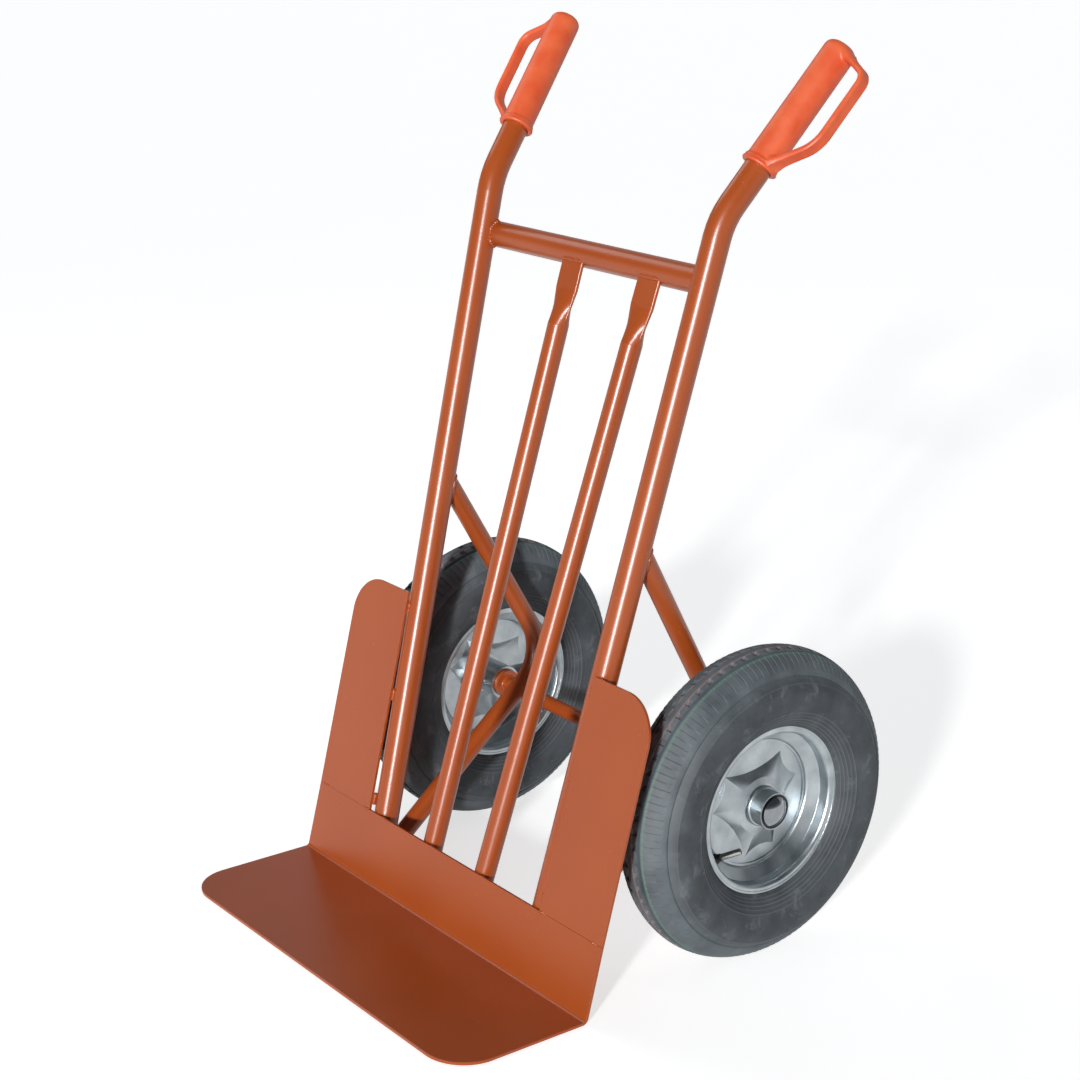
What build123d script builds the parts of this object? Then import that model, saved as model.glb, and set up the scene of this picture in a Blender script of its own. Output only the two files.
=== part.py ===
from build123d import *
import os
from math import asin, atan2, cos, hypot, radians, sin, sqrt

os.makedirs("parts", exist_ok=True)

# A two-wheeled hand cart: a welded tube frame with a bent toe plate, on pneumatic wheels.
# Sizes are in millimetres, angles in degrees. +Z is up and the toe points to -Y.
# Left and right are as seen from the front, so right is +X.
# The origin is on the floor, in the middle of the width, halfway between the front edge
# of the toe plate and the back of the tyres.

# Toe plate: one bent sheet, a toe on the floor and a low flange that leans back
sheet = 4.0
toe_width = 608.0
toe_depth = 190.0
toe_corner = 55.0
fold_radius = 5.0
flange_height = 92.0
lean = 13.9

# Side plates: they stand on the flange, in front of the rails, and keep the load off the tyres
wing_top = 389.0
wing_corner = 52.0
wing_inner_low = 185.0
wing_inner_high = 194.0
wing_flare = 4.0

# Rails: bent tubes that flare apart and end in the handles
rail_od = 33.7
rail_wall = 2.6
rail_foot = 8.0
rail_spread_low = 167.5
rail_spread_high = 219.9
handle_bend_at = 942.0
handle_bend = 100.0
handle_lean = 37.6
handle_splay = 0.146
handle_length = 239.6

# Cross tube and the two inner bars, whose tops are pressed flat
cross_od = 33.7
cross_wall = 2.6
cross_at = 869.0
cross_set_back = 15.0
cross_bite = 1.9
bar_od = 26.9
bar_wall = 2.3
bar_foot = 12.0
bar_half_gap_low = 54.0
bar_half_gap_high = 72.8
bar_shift_low = -9.0
bar_shift_high = 44.0
bar_set_back = 4.0
flat_width = 40.0
flat_thick = 5.6
flat_length = 29.0
flat_blend = 46.0

# Braces: one bent tube on each side, from the rail back to the axle and forward again
brace_od = 25.4
brace_wall = 2.3
brace_high = 550.0
brace_low = 21.0
brace_bend = 66.0
brace_past_axle = 59.0
axle_saddle = 3.0

# Axle with its collars, washers and clips
axle_setback = 285.0
axle_d = 20.0
axle_past_clip = 4.3
axle_chamfer = 1.5
collar_wall = 8.9
collar_thick = 7.0
washer_clear = 2.0
washer_thick = 2.0
clip_thick = 1.2
clip_width = 4.0
clip_groove = 0.5
clip_gap_angle = 50.0
spacer_wall = 2.9

# Tyre and inner tube, with heights counted from the bead seat
tyre_height = 100.0
tyre_width = 106.6
tyre_widest_at = 50.0
crown_radius = 46.0
tread_width = 81.0
tread_step = 1.5
tread_groove_at = 15.0
tread_groove_width = 5.0
tread_groove_depth = 5.0
crown_thick = 8.0
tube_lift = 4.0
bead_mouth = 35.0
tube_wall = 2.5

# Rim: rolled sheet with a dropped centre
seat_r = 100.0
rim_width = 69.0
rim_sheet = 2.5
lip_height = 7.4
lip_roll = 3.2
seat_inner = 31.0
well_drop = 15.5
well_width = 12.0
rim_bend = 3.2

# Wheel disc: pressed sheet, raised in three wide and three narrow hollow sides to a round shoulder,
# and from there in a short neck to the hub
disc_sheet = 3.0
disc_face = 4.3
disc_collar = 4.5
press_fold = 3
press_angle = 218.0
press_tip_inset = 11.2
press_tip_angle = 40.7
press_wide_inset = 36.9
press_narrow_inset = 22.4
press_shoulder = 12.8
press_shoulder_rise = 8.3
press_neck = 4.6
press_rise = 11.0

# Hub with its roller bearings and cap
roller_d = 6.5
roller_length = 14.0
rollers = 9
race_wall = 3.4
race_length = 18.0
race_inset = 2.0
cage_clear = 1.4
hub_wall = 3.2
hub_inboard = 38.0
hub_outboard = 38.4
hub_bead_out = 2.4
hub_bead_width = 5.0
cap_seat = 2.2
cap_seat_deep = 13.0
cap_ring_wall = 3.4
cap_ring_short = 2.0
cap_sheet = 1.2
cap_stand = 1.0
cap_skirt = 9.0
cap_dome = 6.5

# Valve
valve_angle = 216.0
valve_hole_d = 11.5
valve_pad_d = 16.0
valve_pad_thick = 2.0
valve_neck_d = 10.9
valve_collar_d = 13.0
valve_collar_thick = 3.0
valve_stem_d = 9.6
valve_tip_d = 6.2
valve_tip_length = 24.0
valve_length = 30.0
valve_bore_d = 3.0
valve_cap_d = 8.2
valve_cap_length = 26.0
valve_cap_round = 1.0

# Grips: moulded sleeves with a closed end, two beads at the mouth and a hand guard
grip_start = 72.5
grip_wall = 3.55
grip_taper = 0.5
grip_end_wall = 4.4
grip_end_round = 10.0
bead_out = 2.8
bead_width = 5.0
lip_out = 1.6
lip_width = 4.0
bead_valley = 0.5
guard_reach = 64.3
guard_root = 15.0
guard_mouth_inset = 7.6
guard_mouth_run = 40.0
guard_mouth_bend = 36.6
guard_end_inset = 10.2
guard_end_run = 18.0
guard_end_bend = 17.2
guard_thick = 8.4
guard_width = 17.2
guard_round = 3.0

# Clearances: brace to tyre, root gap of a welded joint, slip fit, running gap and bearing play
brace_tyre_gap = 9.2
weld_gap = 0.2
slip = 0.1
running_gap = 0.3
bearing_play = 0.05

SIDES = (("left", -1), ("right", 1))

# Places worked out from the sizes above
tyre_r = seat_r + tyre_height
rail_r = rail_od / 2
cross_r = cross_od / 2
bar_r = bar_od / 2
brace_r = brace_od / 2
axle_r = axle_d / 2
pitch_r = axle_r + bearing_play + roller_d / 2
race_r = pitch_r + roller_d / 2 + bearing_play
hub_bore_r = race_r + race_wall
hub_r = hub_bore_r + hub_wall
fold_y = (toe_depth - axle_setback - tyre_r) / 2
axle_y = fold_y + axle_setback
axle_z = tyre_r
rail_back = sheet + weld_gap + rail_r
bar_back = sheet + weld_gap + bar_r
lean_plane = Plane(
    origin=(0, fold_y, sheet), x_dir=(1, 0, 0), z_dir=(0, -cos(radians(lean)), sin(radians(lean)))
)


def on_lean(x, up, back):
    """The point at x, so far up the leaning flange from the toe, so far behind its front face."""
    return lean_plane.from_local_coords((x, up, -back))


def rail_x(up):
    """How far a rail's axis is from the middle of the cart, so far up the lean."""
    return rail_spread_low + (rail_spread_high - rail_spread_low) * up / handle_bend_at


def up_lean(y, z):
    """How far up the lean a point is."""
    return (y - fold_y) * sin(radians(lean)) + (z - sheet) * cos(radians(lean))


def round_bar(points, bend, diameter):
    """A round bar along straight runs joined by bends, to cut a tube's saddle with."""
    with BuildPart() as bar:
        with BuildLine() as route:
            if bend:
                FilletPolyline(*points, radius=bend)
            else:
                Polyline(*points)
        with BuildSketch(Plane(origin=route.line @ 0, z_dir=route.line % 0)):
            Circle(diameter / 2)
        sweep()
    return bar.part


def polar(radius, angle):
    """The point at so many degrees on a circle of this radius."""
    return radius * cos(radians(angle)), radius * sin(radians(angle))


def save(piece, name):
    """Names a finished piece and writes it."""
    piece.part.label = name
    export_step(piece.part, f"parts/{name}.step")


def rail_route(side):
    """The three points of a rail's axis: its foot, its bend and the end of its handle."""
    bend = on_lean(side * rail_x(handle_bend_at), handle_bend_at, rail_back)
    slope = radians(handle_lean)
    handle = Vector(side * handle_splay, sin(slope), cos(slope)).normalized()
    foot = on_lean(side * rail_x(rail_foot), rail_foot, rail_back)
    return foot, bend, bend + handle * handle_length


# Toe plate: the sheet's bent section, drawn from the side, with the toe's corners rounded
with BuildPart() as toe_plate:
    flange_end = on_lean(0, flange_height, 0)
    with BuildSketch(Plane.YZ):
        with BuildLine():
            FilletPolyline(
                (fold_y - toe_depth, sheet),
                (fold_y, sheet),
                (flange_end.Y, flange_end.Z),
                radius=fold_radius,
            )
            offset(amount=sheet, side=Side.RIGHT)
        make_face()
    extrude(amount=toe_width / 2, both=True)
    fillet(toe_plate.edges().filter_by(Axis.Z).group_by(Axis.Y)[0], toe_corner)
save(toe_plate, "toe_plate")

# Side plates: flat sheets in the plane of the flange, butted on its top edge
wing_outer_high = toe_width / 2 + wing_flare
for hand, side in SIDES:
    with BuildPart() as side_plate:
        with BuildSketch(lean_plane):
            with BuildLine():
                Polyline(
                    (side * wing_inner_low, flange_height),
                    (side * toe_width / 2, flange_height),
                    (side * wing_outer_high, wing_top),
                    (side * wing_inner_high, wing_top),
                    close=True,
                )
            make_face()
        extrude(amount=-sheet)
        outer_corner = on_lean(side * wing_outer_high, wing_top, sheet / 2)
        fillet(side_plate.edges().sort_by_distance(outer_corner)[0], wing_corner)
    save(side_plate, f"{hand}_side_plate")

# Rails: tubes bent once, where the handles begin
for hand, side in SIDES:
    with BuildPart() as rail:
        with BuildLine() as rail_path:
            FilletPolyline(*rail_route(side), radius=handle_bend)
        with BuildSketch(Plane(origin=rail_path.line @ 0, z_dir=rail_path.line % 0)):
            Circle(rail_r)
            Circle(rail_r - rail_wall, mode=Mode.SUBTRACT)
        sweep()
    save(rail, f"{hand}_rail")

# Cross tube: set back behind the rails' axes, with square ends that are notched to seat on the rails
rail_cutters = [round_bar(rail_route(side), handle_bend, rail_od + 2 * weld_gap) for _, side in SIDES]
cross_end = rail_x(cross_at) - rail_r + cross_bite
cross_back = rail_back + cross_set_back
with BuildPart() as cross_tube:
    with BuildSketch(Plane(origin=on_lean(0, cross_at, cross_back), z_dir=(1, 0, 0))):
        Circle(cross_r)
        Circle(cross_r - cross_wall, mode=Mode.SUBTRACT)
    extrude(amount=cross_end, both=True)
    for cutter in rail_cutters:
        add(cutter, mode=Mode.SUBTRACT)
save(cross_tube, "cross_tube")

# Inner bars: tubes behind the flange, pressed flat at the top to meet the cross tube from below
cross_axis = [on_lean(-cross_end, cross_at, cross_back), on_lean(cross_end, cross_at, cross_back)]
cross_cutter = round_bar(cross_axis, 0, cross_od + 2 * weld_gap)
for hand, side in SIDES:
    bar_low = on_lean(bar_shift_low + side * bar_half_gap_low, bar_foot, bar_back)
    bar_high = on_lean(bar_shift_high + side * bar_half_gap_high, cross_at, rail_back + bar_set_back)
    bar_way = (bar_high - bar_low).normalized()
    bar_across = (lean_plane.x_dir - bar_way * lean_plane.x_dir.dot(bar_way)).normalized()
    bar_plane = Plane(origin=bar_low, x_dir=bar_across, z_dir=bar_way)
    round_length = (bar_high - bar_low).length - cross_r - flat_length - flat_blend
    with BuildPart() as bar:
        with BuildSketch(bar_plane):
            Circle(bar_r)
        extrude(amount=round_length)
        with BuildSketch(bar_plane.offset(round_length)):
            Circle(bar_r)
        with BuildSketch(bar_plane.offset(round_length + flat_blend)):
            SlotOverall(flat_width, flat_thick)
        loft()
        with BuildSketch(bar_plane.offset(round_length + flat_blend)):
            SlotOverall(flat_width, flat_thick)
        extrude(amount=flat_length + cross_r)
        with BuildSketch(bar_plane):
            Circle(bar_r - bar_wall)
        extrude(amount=round_length, mode=Mode.SUBTRACT)
        add(cross_cutter, mode=Mode.SUBTRACT)
    save(bar, f"{hand}_bar")

# Braces: each lies in the plane of its rail, and its lower leg passes over the axle in a saddle
brace_foot = on_lean(0, brace_low, rail_back)
brace_head = on_lean(0, brace_high, rail_back)
axle_reach = hypot(axle_y - brace_foot.Y, axle_z - brace_foot.Z)
axle_aside = brace_r + axle_r - axle_saddle
leg_slope = atan2(axle_z - brace_foot.Z, axle_y - brace_foot.Y) + asin(axle_aside / axle_reach)
leg_length = sqrt(axle_reach**2 - axle_aside**2) + brace_past_axle
brace_corner_y = brace_foot.Y + leg_length * cos(leg_slope)
brace_corner_z = brace_foot.Z + leg_length * sin(leg_slope)
track = 2 * (rail_x(brace_high) + brace_r + brace_tyre_gap) + tyre_width
race_inboard_end = hub_inboard - race_inset
race_outboard_end = hub_outboard - cap_seat_deep - race_inset
outer_washer_at = race_outboard_end + running_gap
clip_at = outer_washer_at + washer_thick + slip
axle_end = track / 2 + clip_at + clip_thick + slip + axle_past_clip
axle_axis = [(-axle_end, axle_y, axle_z), (axle_end, axle_y, axle_z)]
axle_cutter = round_bar(axle_axis, 0, axle_d + 2 * weld_gap)
for (hand, side), rail_cutter in zip(SIDES, rail_cutters):
    with BuildPart() as brace:
        with BuildLine() as brace_path:
            FilletPolyline(
                (side * rail_x(brace_high), brace_head.Y, brace_head.Z),
                (side * rail_x(up_lean(brace_corner_y, brace_corner_z)), brace_corner_y, brace_corner_z),
                (side * rail_x(brace_low), brace_foot.Y, brace_foot.Z),
                radius=brace_bend,
            )
        with BuildSketch(Plane(origin=brace_path.line @ 0, z_dir=brace_path.line % 0)):
            Circle(brace_r)
            Circle(brace_r - brace_wall, mode=Mode.SUBTRACT)
        sweep()
        add(rail_cutter, mode=Mode.SUBTRACT)
        add(axle_cutter, mode=Mode.SUBTRACT)
    save(brace, f"{hand}_brace")

# Axle: a round bar with a clip groove near each end
axle_plane = Plane(origin=(0, axle_y, axle_z), x_dir=(0, 1, 0), z_dir=(1, 0, 0))
with BuildPart() as axle:
    with BuildSketch(axle_plane):
        Circle(axle_r)
    extrude(amount=axle_end, both=True)
    chamfer(axle.edges().filter_by(GeomType.CIRCLE), axle_chamfer)
    for side in (-1, 1):
        groove_from = side * (track / 2 + clip_at)
        with BuildSketch(axle_plane.offset(groove_from)):
            Circle(axle_r)
            Circle(axle_r - clip_groove, mode=Mode.SUBTRACT)
        extrude(amount=side * (clip_thick + slip), mode=Mode.SUBTRACT)
save(axle, "axle")

# What sits on the axle at each wheel: a welded collar, two thrust washers, a spacer and a clip
spacer_from = -(race_inboard_end - race_length)
spacer_to = race_outboard_end - race_length
for hand, side in SIDES:
    wheel_plane = Plane(
        origin=(side * track / 2, axle_y, axle_z), x_dir=(0, side, 0), z_dir=(side, 0, 0)
    )
    washer_plane = wheel_plane.offset(-race_inboard_end - running_gap)
    with BuildPart() as collar:
        with BuildSketch(washer_plane.offset(-washer_thick - slip)):
            Circle(axle_r + slip + collar_wall)
            Circle(axle_r + slip, mode=Mode.SUBTRACT)
        extrude(amount=-collar_thick)
    save(collar, f"{hand}_axle_collar")

    with BuildPart() as washers:
        with BuildSketch(washer_plane.offset(-washer_thick), wheel_plane.offset(outer_washer_at)):
            Circle(hub_bore_r - washer_clear)
            Circle(axle_r + slip, mode=Mode.SUBTRACT)
        extrude(amount=washer_thick)
    save(washers, f"{hand}_thrust_washers")

    with BuildPart() as spacer:
        with BuildSketch(wheel_plane.offset(spacer_from)):
            Circle(axle_r + slip + spacer_wall)
            Circle(axle_r + slip, mode=Mode.SUBTRACT)
        extrude(amount=spacer_to - spacer_from)
    save(spacer, f"{hand}_spacer")

    with BuildPart() as clip:
        clip_r = axle_r - clip_groove + slip
        clip_sweep = 360 - clip_gap_angle
        with BuildSketch(wheel_plane.offset(clip_at + slip / 2)):
            with BuildLine():
                inner = CenterArc((0, 0), clip_r, clip_gap_angle / 2, clip_sweep)
                outer = CenterArc((0, 0), clip_r + clip_width, clip_gap_angle / 2, clip_sweep)
                Line(inner @ 0, outer @ 0)
                Line(inner @ 1, outer @ 1)
            make_face()
        extrude(amount=clip_thick)
    save(clip, f"{hand}_retaining_clip")

# Wheels: both are alike, each with its valve side outboard
rim_half = rim_width / 2
lip_r = seat_r + lip_height
well_r = seat_r - well_drop
flange_face = rim_half - lip_roll
bead_r = seat_r + running_gap
bead_face = flange_face - running_gap
cavity_radius = (tyre_height - crown_thick - tube_lift) / 2
cavity_at = tyre_r - crown_thick - cavity_radius
tread_half = tread_width / 2
crown_at = tyre_r - crown_radius
tread_edge_r = crown_at + sqrt(crown_radius**2 - tread_half**2)
slope_mid_r = (seat_r + well_r) / 2
slope_mid = (seat_inner + well_width) / 4
for hand, side in SIDES:
    hub_centre = Vector(side * track / 2, axle_y, axle_z)
    outboard = Vector(side, 0, 0)
    spin = Axis(hub_centre, outboard)
    wheel_plane = Plane(origin=hub_centre, x_dir=(0, side, 0), z_dir=outboard)
    # Section through the wheel: the radius runs along its x, the outboard way along its y
    section = Plane(origin=hub_centre, x_dir=(0, 0, 1), z_dir=(0, side, 0))

    with BuildPart() as tyre:
        with BuildSketch(section):
            with BuildLine():
                for way in (1, -1):
                    heel = FilletPolyline(
                        (bead_r, 0),
                        (bead_r, way * bead_face),
                        (lip_r - lip_roll, way * bead_face),
                        radius=rim_bend,
                    )
                    lip = TangentArc(
                        heel @ 1, (lip_r + running_gap, way * rim_half), tangent=(1, 0)
                    )
                    widest = (seat_r + tyre_widest_at, way * tyre_width / 2)
                    TangentArc(widest, lip @ 1, tangent=(-1, 0))
                    side_top = (tread_edge_r - tread_step, way * (tread_half - tread_step / 2))
                    TangentArc(widest, side_top, tangent=(1, 0))
                    Line(side_top, (tread_edge_r, way * tread_half))
                ThreePointArc((tread_edge_r, tread_half), (tyre_r, 0), (tread_edge_r, -tread_half))
            make_face()
            with Locations((cavity_at, 0)):
                Circle(cavity_radius, mode=Mode.SUBTRACT)
            with Locations((bead_r, 0)):
                Rectangle(2 * (cavity_at - bead_r), bead_mouth, mode=Mode.SUBTRACT)
            with Locations((tyre_r, tread_groove_at), (tyre_r, -tread_groove_at)):
                Rectangle(2 * tread_groove_depth, tread_groove_width, mode=Mode.SUBTRACT)
        revolve(axis=spin)
    save(tyre, f"{hand}_tyre")

    # The valve leaves the rim's outboard slope at half a right angle to the axle, towards the hub
    valve_out = Vector(0, side * cos(radians(valve_angle)), sin(radians(valve_angle)))
    valve_way = (outboard - valve_out).normalized()
    valve_hole = hub_centre + valve_out * slope_mid_r + outboard * slope_mid
    to_tube = hub_centre + valve_out * cavity_at - valve_hole
    along = to_tube.dot(valve_way)
    valve_back = -along - sqrt((cavity_radius - running_gap) ** 2 - to_tube.length**2 + along**2)
    valve_base = valve_hole - valve_way * valve_back
    valve_plane = Plane(origin=valve_base, x_dir=(0, -valve_out.Z, valve_out.Y), z_dir=valve_way)

    with BuildPart() as inner_tube:
        with BuildSketch(section):
            with Locations((cavity_at, 0)):
                Circle(cavity_radius - running_gap)
                Circle(cavity_radius - running_gap - tube_wall, mode=Mode.SUBTRACT)
        revolve(axis=spin)
        with BuildSketch(valve_plane):
            Circle(valve_bore_d / 2)
        extrude(amount=2 * tube_wall, both=True, mode=Mode.SUBTRACT)
    save(inner_tube, f"{hand}_inner_tube")

    # The valve's collar is moulded to the slope it sits on
    with BuildPart() as valve_stem:
        collar_to = valve_back + rim_sheet + running_gap + valve_collar_thick
        stem_end = collar_to + valve_length - valve_tip_length
        with BuildSketch(valve_plane.offset(valve_back)):
            Circle(valve_collar_d / 2)
        extrude(amount=collar_to - valve_back)
        with BuildSketch(section):
            with BuildLine():
                Polyline(
                    (seat_r, seat_inner / 2), (well_r, well_width / 2), (seat_r, well_width / 2), close=True
                )
            make_face()
            offset(amount=rim_sheet + running_gap)
        revolve(axis=spin, mode=Mode.SUBTRACT)
        with BuildSketch(Plane(origin=valve_base, x_dir=valve_plane.x_dir, z_dir=valve_plane.y_dir)):
            with BuildLine():
                Polyline(
                    (valve_bore_d / 2, tube_wall),
                    (valve_pad_d / 2, tube_wall),
                    (valve_pad_d / 2, -valve_pad_thick),
                    (valve_neck_d / 2, -2 * valve_pad_thick),
                    (valve_neck_d / 2, -collar_to),
                    (valve_collar_d / 2, -collar_to),
                    (valve_stem_d / 2, -collar_to - valve_collar_thick),
                    (valve_stem_d / 2, -stem_end),
                    (valve_tip_d / 2, -stem_end),
                    (valve_tip_d / 2, -stem_end - valve_tip_length),
                    (valve_bore_d / 2, -stem_end - valve_tip_length),
                    close=True,
                )
            make_face()
        revolve(axis=Axis(valve_base, valve_way))
        with Locations(wheel_plane):
            Torus(cavity_at, cavity_radius - running_gap, mode=Mode.SUBTRACT)
    save(valve_stem, f"{hand}_valve_stem")

    with BuildPart() as valve_cap:
        cap_from = stem_end + slip
        with BuildSketch(valve_plane.offset(cap_from)):
            Circle(valve_cap_d / 2)
        extrude(amount=valve_cap_length)
        fillet(valve_cap.faces().sort_by(Axis(valve_base, valve_way))[-1].edges(), valve_cap_round)
        with BuildSketch(valve_plane.offset(cap_from)):
            Circle(valve_tip_d / 2 + slip)
        extrude(amount=valve_tip_length + slip, mode=Mode.SUBTRACT)
    save(valve_cap, f"{hand}_valve_cap")

    with BuildPart() as rim:
        with BuildSketch(section):
            with BuildLine():
                barrel = FilletPolyline(
                    (lip_r - lip_roll, flange_face),
                    (seat_r, flange_face),
                    (seat_r, seat_inner / 2),
                    (well_r, well_width / 2),
                    (well_r, -well_width / 2),
                    (seat_r, -seat_inner / 2),
                    (seat_r, -flange_face),
                    (lip_r - lip_roll, -flange_face),
                    radius=rim_bend,
                )
                TangentArc(barrel @ 0, (lip_r, rim_half), tangent=(1, 0))
                TangentArc(barrel @ 1, (lip_r, -rim_half), tangent=(1, 0))
                offset(amount=rim_sheet, side=Side.RIGHT)
            make_face()
        revolve(axis=spin)
        with BuildSketch(valve_plane.offset(valve_back)):
            Circle(valve_hole_d / 2)
        extrude(amount=2 * rim_sheet, both=True, mode=Mode.SUBTRACT)
    save(rim, f"{hand}_rim")

    # The disc's raised middle is a ruled press form, with a crease from each tip up to the shoulder.
    # The same form, one sheet lower, hollows its back.
    tip_angles = []
    for fold in range(press_fold):
        middle = press_angle + 360 * fold / press_fold
        tip_angles += [middle - press_tip_angle, middle + press_tip_angle]
    tip_angles.append(tip_angles[0] + 360)
    disc_plane = wheel_plane.offset(disc_face)
    disc_r = well_r - rim_sheet - slip
    press_tip_r = disc_r - press_tip_inset
    side_radii = [disc_r - press_wide_inset, disc_r - press_narrow_inset] * press_fold
    round_stages = [(press_shoulder_rise, hub_r + press_shoulder), (press_rise, hub_r + press_neck)]
    with BuildPart() as wheel_disc:
        with BuildSketch(disc_plane.offset(-disc_sheet)):
            Circle(disc_r)
        extrude(amount=disc_collar)
        with BuildSketch(disc_plane):
            Circle(disc_r - disc_sheet)
        extrude(amount=disc_collar - disc_sheet, mode=Mode.SUBTRACT)
        for drop, press in ((0, Mode.ADD), (disc_sheet, Mode.SUBTRACT)):
            with BuildSketch(disc_plane.offset(-drop)):
                with BuildLine():
                    for this_tip, next_tip, side_r in zip(tip_angles, tip_angles[1:], side_radii):
                        ThreePointArc(
                            polar(press_tip_r, this_tip),
                            polar(side_r, (this_tip + next_tip) / 2),
                            polar(press_tip_r, next_tip),
                        )
                make_face()
            for rise, stage_r in round_stages:
                with BuildSketch(disc_plane.offset(rise - drop)):
                    with BuildLine():
                        for this_tip, next_tip in zip(tip_angles, tip_angles[1:]):
                            CenterArc((0, 0), stage_r, this_tip, next_tip - this_tip)
                    make_face()
            loft(ruled=True, mode=press)
        with BuildSketch(disc_plane.offset(-disc_sheet)):
            Circle(hub_r + slip)
        extrude(amount=press_rise + 2 * disc_sheet, mode=Mode.SUBTRACT)
    save(wheel_disc, f"{hand}_wheel_disc")

    with BuildPart() as hub:
        bead_from = disc_face + press_rise + slip
        bead_to = bead_from + hub_bead_width
        cap_seat_r = hub_bore_r + cap_seat
        cap_seat_at = hub_outboard - cap_seat_deep
        with BuildSketch(section):
            with BuildLine():
                ThreePointArc(
                    (hub_r, bead_from), (hub_r + hub_bead_out, (bead_from + bead_to) / 2), (hub_r, bead_to)
                )
                Polyline(
                    (hub_r, bead_to),
                    (hub_r, hub_outboard),
                    (cap_seat_r, hub_outboard),
                    (cap_seat_r, cap_seat_at),
                    (hub_bore_r, cap_seat_at),
                    (hub_bore_r, -hub_inboard),
                    (hub_r, -hub_inboard),
                    (hub_r, bead_from),
                )
            make_face()
        revolve(axis=spin)
    save(hub, f"{hand}_hub")

    # Roller bearings: races pressed into the hub, rollers in cages on the bare axle
    race_starts = (-race_inboard_end, race_outboard_end - race_length)
    with BuildPart() as races:
        with BuildSketch(*[wheel_plane.offset(start) for start in race_starts]):
            Circle(hub_bore_r)
            Circle(race_r, mode=Mode.SUBTRACT)
        extrude(amount=race_length)
    save(races, f"{hand}_bearing_races")

    roller_inset = (race_length - roller_length) / 2
    with BuildPart() as roller_set:
        with BuildSketch(*[wheel_plane.offset(start + roller_inset) for start in race_starts]):
            with PolarLocations(pitch_r, rollers):
                Circle(roller_d / 2)
        extrude(amount=roller_length)
    save(roller_set, f"{hand}_bearing_rollers")

    with BuildPart() as cages:
        with BuildSketch(*[wheel_plane.offset(start + running_gap) for start in race_starts]):
            Circle(race_r - cage_clear)
            Circle(axle_r + cage_clear, mode=Mode.SUBTRACT)
        extrude(amount=race_length - 2 * running_gap)
        with BuildSketch(*[wheel_plane.offset(start + roller_inset - slip) for start in race_starts]):
            with PolarLocations(pitch_r, rollers):
                Circle(roller_d / 2 + slip)
        extrude(amount=roller_length + 2 * slip, mode=Mode.SUBTRACT)
    save(cages, f"{hand}_bearing_cages")

    # Hub cap: a domed pressing held in the hub's mouth by a soft ring
    cap_r = cap_seat_r - cap_ring_wall
    cap_rim = hub_outboard + cap_stand
    with BuildPart() as cap_ring:
        with BuildSketch(wheel_plane.offset(cap_seat_at)):
            Circle(cap_seat_r)
            Circle(cap_r, mode=Mode.SUBTRACT)
        extrude(amount=cap_seat_deep - cap_ring_short)
    save(cap_ring, f"{hand}_cap_ring")

    with BuildPart() as hub_cap:
        dome_r = (cap_r**2 + cap_dome**2) / (2 * cap_dome)
        cap_crown = cap_rim + cap_dome
        inner_r = cap_r - cap_sheet
        inner_edge = cap_crown - dome_r + sqrt((dome_r - cap_sheet) ** 2 - inner_r**2)
        with BuildSketch(section):
            with BuildLine():
                TangentArc((0, cap_crown), (cap_r, cap_rim), tangent=(1, 0))
                Polyline(
                    (cap_r, cap_rim),
                    (cap_r, cap_rim - cap_skirt),
                    (inner_r, cap_rim - cap_skirt),
                    (inner_r, inner_edge),
                )
                TangentArc((0, cap_crown - cap_sheet), (inner_r, inner_edge), tangent=(1, 0))
                Line((0, cap_crown - cap_sheet), (0, cap_crown))
            make_face()
        revolve(axis=spin)
    save(hub_cap, f"{hand}_hub_cap")

# Grips: pushed over the handles, each with a guard on its outer side that slants up from the mouth
grip_bore_r = rail_r + slip
grip_r = grip_bore_r + grip_wall
grip_bore_end = handle_length - grip_start + slip
grip_length = grip_bore_end + grip_end_wall
for hand, side in SIDES:
    _, bend, end = rail_route(side)
    handle_way = (end - bend).normalized()
    aside = (Vector(side, 0, 0) - handle_way * (side * handle_way.X)).normalized()
    grip_foot = bend + handle_way * grip_start
    grip_plane = Plane(origin=grip_foot, x_dir=aside, z_dir=aside.cross(handle_way))
    with BuildPart() as grip:
        with BuildSketch(grip_plane):
            with BuildLine():
                valley_r = grip_r + bead_valley
                end_r = grip_r - grip_taper
                lip_end = bead_width + lip_width
                Line((grip_bore_r, 0), (valley_r, 0))
                ThreePointArc((valley_r, 0), (grip_r + bead_out, bead_width / 2), (valley_r, bead_width))
                ThreePointArc(
                    (valley_r, bead_width), (grip_r + lip_out, bead_width + lip_width / 2), (grip_r, lip_end)
                )
                Line((grip_r, lip_end), (end_r, grip_length - grip_end_round))
                RadiusArc(
                    (end_r, grip_length - grip_end_round),
                    (end_r - grip_end_round, grip_length),
                    -grip_end_round,
                )
                Polyline(
                    (end_r - grip_end_round, grip_length),
                    (0, grip_length),
                    (0, grip_bore_end),
                    (grip_bore_r, grip_bore_end),
                    (grip_bore_r, 0),
                )
            make_face()
        revolve(axis=Axis(grip_foot, handle_way))
        with BuildLine(grip_plane) as guard_path:
            FilletPolyline(
                (guard_root, guard_mouth_inset),
                (guard_reach, guard_mouth_inset + guard_mouth_run),
                (guard_reach, grip_length - guard_end_inset - guard_end_run),
                (guard_root, grip_length - guard_end_inset),
                radius=(guard_mouth_bend, guard_end_bend),
            )
        guard_start = guard_path.line @ 0
        with BuildSketch(Plane(origin=guard_start, x_dir=grip_plane.z_dir, z_dir=guard_path.line % 0)):
            RectangleRounded(guard_width, guard_thick, guard_round)
        sweep()
        with BuildSketch(Plane(origin=grip_foot, z_dir=handle_way)):
            Circle(grip_bore_r)
        extrude(amount=grip_bore_end, mode=Mode.SUBTRACT)
    save(grip, f"{hand}_grip")
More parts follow.
